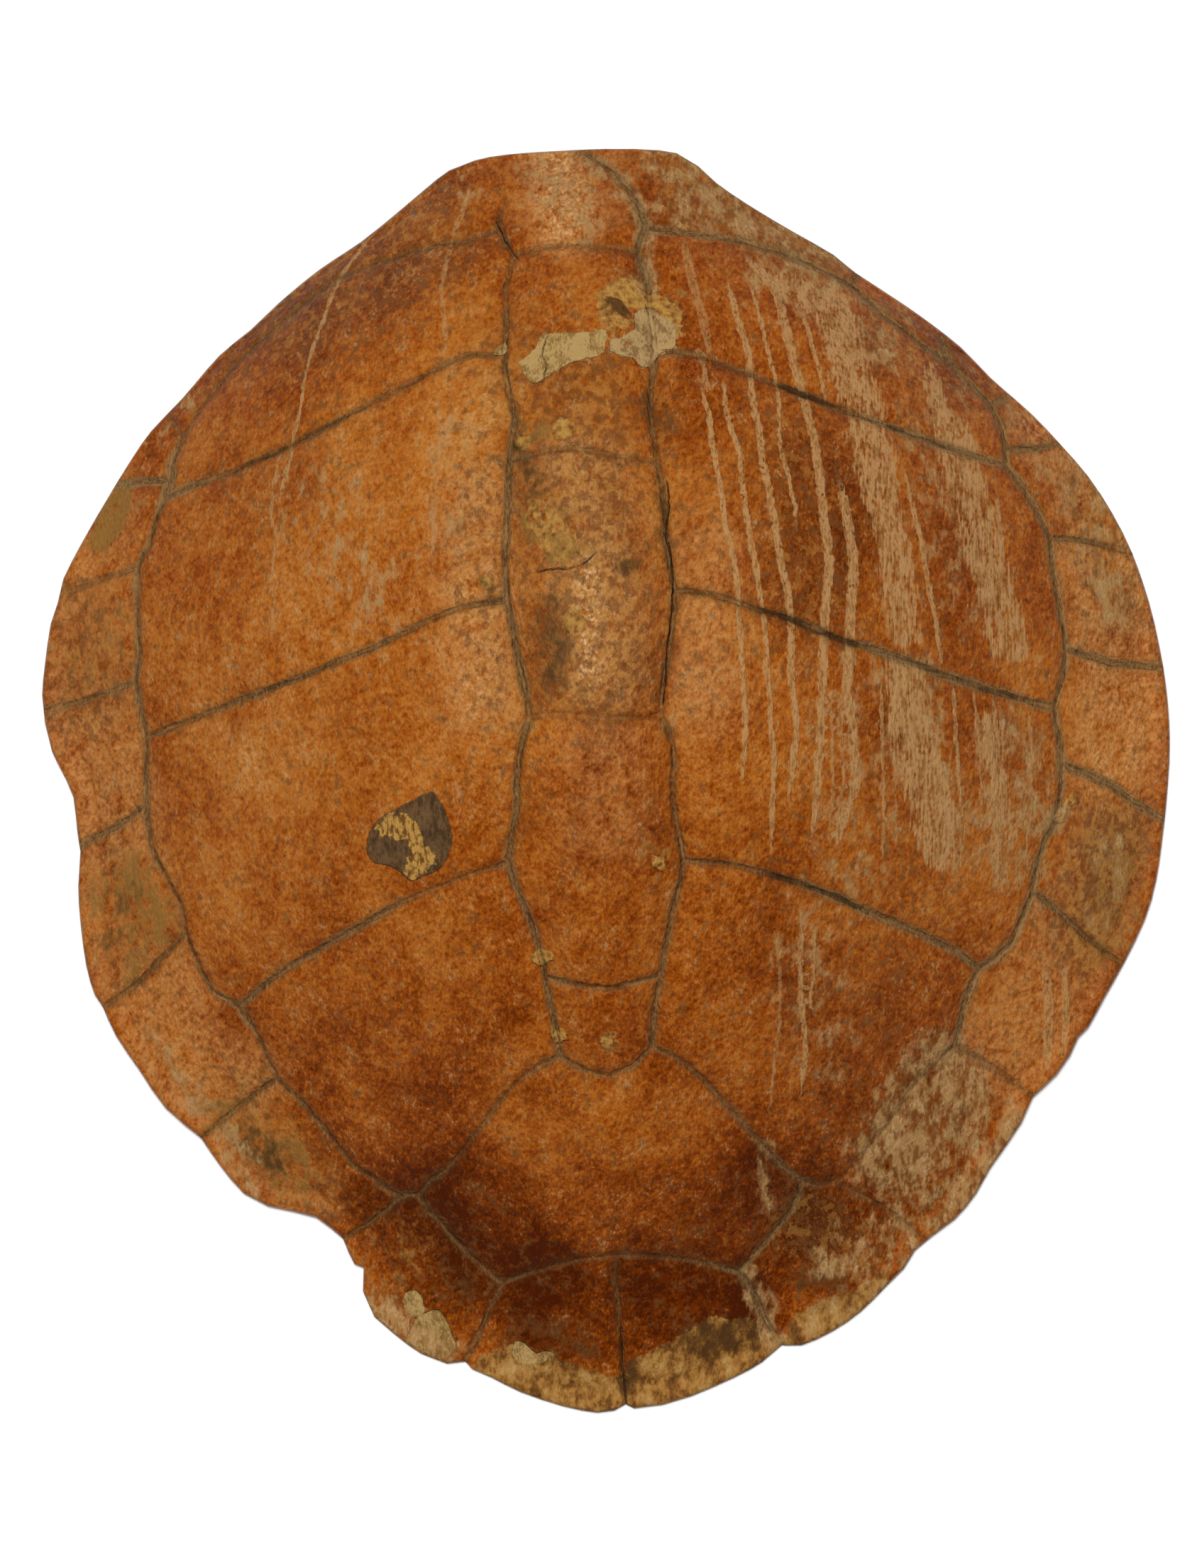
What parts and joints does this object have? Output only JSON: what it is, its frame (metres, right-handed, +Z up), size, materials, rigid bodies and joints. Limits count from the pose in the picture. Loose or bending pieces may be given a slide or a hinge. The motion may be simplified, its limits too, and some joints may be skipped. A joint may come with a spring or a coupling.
{
  "type": "sea turtle shell",
  "caption": "Domed upper shell of a large sea turtle with a raised middle row, grooved scutes, a flared scalloped rim and a hollow ribbed underside.",
  "frame": {"origin": "centre of the bounding box on the ground plane that the rim rests on", "axes": "+Z up out of the dome, +Y towards the head end, +X towards the animal's right"},
  "size_m": [0.7944, 0.8896, 0.2364],
  "materials": {
    "horn": "aged orange-brown horn over bone, dull sheen, dusty, stained and worn at the tail"
  },
  "bodies": {
    "root": {"carapace": "horn"}
  },
  "joints": []
}
